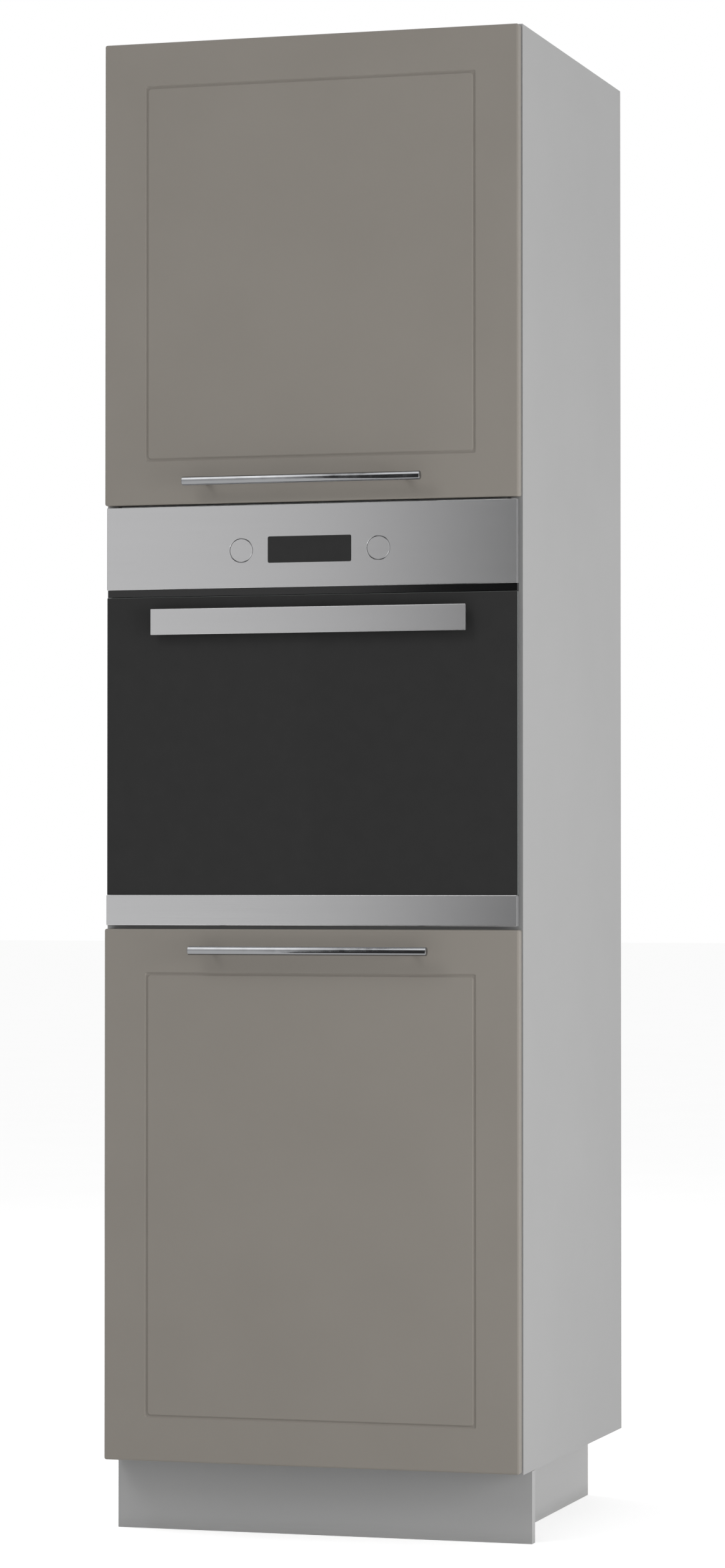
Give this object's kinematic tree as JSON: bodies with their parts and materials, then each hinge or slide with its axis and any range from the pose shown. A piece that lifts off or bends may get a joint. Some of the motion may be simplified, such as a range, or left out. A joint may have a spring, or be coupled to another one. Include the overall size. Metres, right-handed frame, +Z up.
{
  "type": "tall oven housing unit",
  "caption": "Tall kitchen housing with an oven between two side-hung doors: carcass on legs and plinth, drop-down oven door, pop-out knobs and bar pulls.",
  "frame": {"origin": "on the floor, in the middle of the width and of the whole depth with the pulls", "axes": "+X to the right seen from the front, +Y to the back, +Z up"},
  "size_m": [0.6, 0.6218, 2.0775],
  "materials": {
    "laminate_grey": "melamine-faced chipboard, light grey, fine texture",
    "door_lacquer": "matt lacquered board, warm grey, milled groove",
    "plinth_grey": "melamine-faced board, mid grey",
    "back_board": "thin hard board, light grey",
    "brushed_steel": "brushed stainless sheet",
    "chrome": "polished chrome plating",
    "zinc": "zinc plated steel",
    "black_enamel": "gloss black enamel on sheet",
    "dark_enamel": "speckled dark vitreous enamel",
    "black_glass": "dark tinted glass, seen as opaque",
    "black_plastic": "moulded, fine grain",
    "clear_bumper": "clear soft buffer",
    "gasket": "silicone and braid, grey",
    "wool": "mineral wool",
    "circuit_board": "solder-masked board",
    "element_steel": "heat-darkened steel tube",
    "lamp_glass": "frosted"
  },
  "bodies": {
    "housing": {"left_side_panel": "laminate_grey", "right_side_panel": "laminate_grey", "bottom_panel": "laminate_grey", "top_panel": "laminate_grey", "oven_shelf": "laminate_grey", "upper_fixed_shelf": "laminate_grey", "lower_shelf": "laminate_grey", "upper_shelf": "laminate_grey", "shelf_pins": "zinc", "lower_back_panel": "back_board", "upper_back_panel": "back_board", "wall_rail": "laminate_grey", "cam_fittings": "zinc", "plinth_front": "plinth_grey", "plinth_sides": "plinth_grey", "plinth_clips": "black_plastic", "leg_sockets": "black_plastic", "leg_feet": "black_plastic", "hinge_plates": "zinc", "hinge_arms": "zinc", "door_bumpers": "clear_bumper", "oven_casing": "zinc", "oven_insulation": "wool", "oven_cavity": "dark_enamel", "front_frame": "black_enamel", "door_gasket": "gasket", "control_fascia": "brushed_steel", "control_housing": "black_plastic", "display_window": "black_glass", "control_board": "circuit_board", "oven_hinge_brackets": "zinc", "shelf_runners": "chrome", "wire_rack": "chrome", "baking_tray": "dark_enamel", "heating_elements": "element_steel", "fan_cover": "dark_enamel", "fan_motor": "zinc", "oven_lamp": "lamp_glass", "terminal_box": "black_plastic", "oven_screws": "zinc"},
    "lower_hinge_links": {"lower_hinge_links": "brushed_steel"},
    "lower_door": {"lower_door": "door_lacquer", "lower_hinge_cups": "zinc", "lower_pull": "chrome"},
    "upper_hinge_links": {"upper_hinge_links": "brushed_steel"},
    "upper_door": {"upper_door": "door_lacquer", "upper_hinge_cups": "zinc", "upper_pull": "chrome"},
    "oven_door": {"oven_door_glass": "black_glass", "oven_door_pan": "black_enamel", "inner_glass": "black_glass", "oven_door_trim": "brushed_steel", "oven_handle": "brushed_steel", "oven_hinge_blocks": "zinc"},
    "left_spindle": {"left_spindle": "zinc"},
    "right_spindle": {"right_spindle": "zinc"},
    "left_knob": {"left_knob": "brushed_steel"},
    "right_knob": {"right_knob": "brushed_steel"},
    "fan_impeller": {"fan_impeller": "brushed_steel"}
  },
  "joints": [
    {"name": "lower_hinge_links_turn", "type": "hinge", "parent": "housing", "child": "lower_hinge_links", "pos_m": [-0.2702, -0.25612, 0.47125], "axis": [0, 0, -1], "range_deg": [-16, 0]},
    {"name": "lower_door_swing", "type": "hinge", "parent": "lower_hinge_links", "child": "lower_door", "pos_m": [-0.291, -0.26813, 0.47125], "axis": [0, 0, -1], "range_deg": [0, 110]},
    {"name": "upper_hinge_links_turn", "type": "hinge", "parent": "housing", "child": "upper_hinge_links", "pos_m": [-0.2702, -0.25612, 1.753], "axis": [0, 0, -1], "range_deg": [-16, 0]},
    {"name": "upper_door_swing", "type": "hinge", "parent": "upper_hinge_links", "child": "upper_door", "pos_m": [-0.291, -0.26813, 1.753], "axis": [0, 0, -1], "range_deg": [0, 110]},
    {"name": "oven_door_drop", "type": "hinge", "parent": "housing", "child": "oven_door", "pos_m": [0, -0.26813, 0.8536], "axis": [1, 0, 0], "range_deg": [0, 90], "stiffness_Nm_per_rad": 8, "springref_deg": -28.65},
    {"name": "left_knob_turn", "type": "hinge", "parent": "housing", "child": "left_spindle", "pos_m": [-0.099, -0.25912, 1.3645], "axis": [0, -1, 0], "range_deg": [-270, 0]},
    {"name": "left_knob_pop", "type": "slide", "parent": "left_spindle", "child": "left_knob", "axis": [0, -1, 0], "range_m": [0, 0.014]},
    {"name": "right_knob_turn", "type": "hinge", "parent": "housing", "child": "right_spindle", "pos_m": [0.099, -0.25912, 1.3645], "axis": [0, -1, 0], "range_deg": [-270, 0]},
    {"name": "right_knob_pop", "type": "slide", "parent": "right_spindle", "child": "right_knob", "axis": [0, -1, 0], "range_m": [0, 0.014]},
    {"name": "fan_spin", "type": "hinge", "parent": "housing", "child": "fan_impeller", "pos_m": [0, 0.16087, 1.1035], "axis": [0, -1, 0], "continuous": true}
  ],
  "couplings": [
    {"joint": "lower_hinge_links_turn", "follows": "lower_door_swing", "ratio": -0.14449},
    {"joint": "upper_hinge_links_turn", "follows": "upper_door_swing", "ratio": -0.14449}
  ]
}
